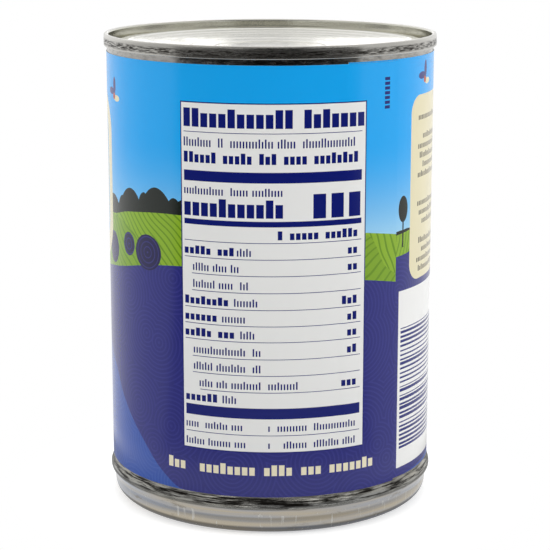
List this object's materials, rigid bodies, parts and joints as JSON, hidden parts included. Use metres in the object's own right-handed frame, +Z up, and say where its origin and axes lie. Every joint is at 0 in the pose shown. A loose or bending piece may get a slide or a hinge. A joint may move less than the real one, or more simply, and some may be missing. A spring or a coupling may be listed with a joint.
{
  "type": "food can",
  "caption": "Sealed steel food can with a seamed end, a rolling bead, a stacking base and a printed paper label wrapped round its wall.",
  "frame": {"origin": "centre of the standing ring, on the surface the can stands on", "axes": "+Z up along the can's axis; -Y is the front of the label; +X is to the right as the front is seen"},
  "size_m": [0.0742, 0.0742, 0.1057],
  "materials": {
    "tinplate": "drawn tinplate, lightly scuffed",
    "end_steel": "pressed tinplate, satin",
    "printed_paper": "coated paper, printed in fields of blue, green, white and cream, satin"
  },
  "bodies": {
    "root": {"can_body": "tinplate", "can_end": "end_steel", "paper_label": "printed_paper"}
  },
  "joints": []
}
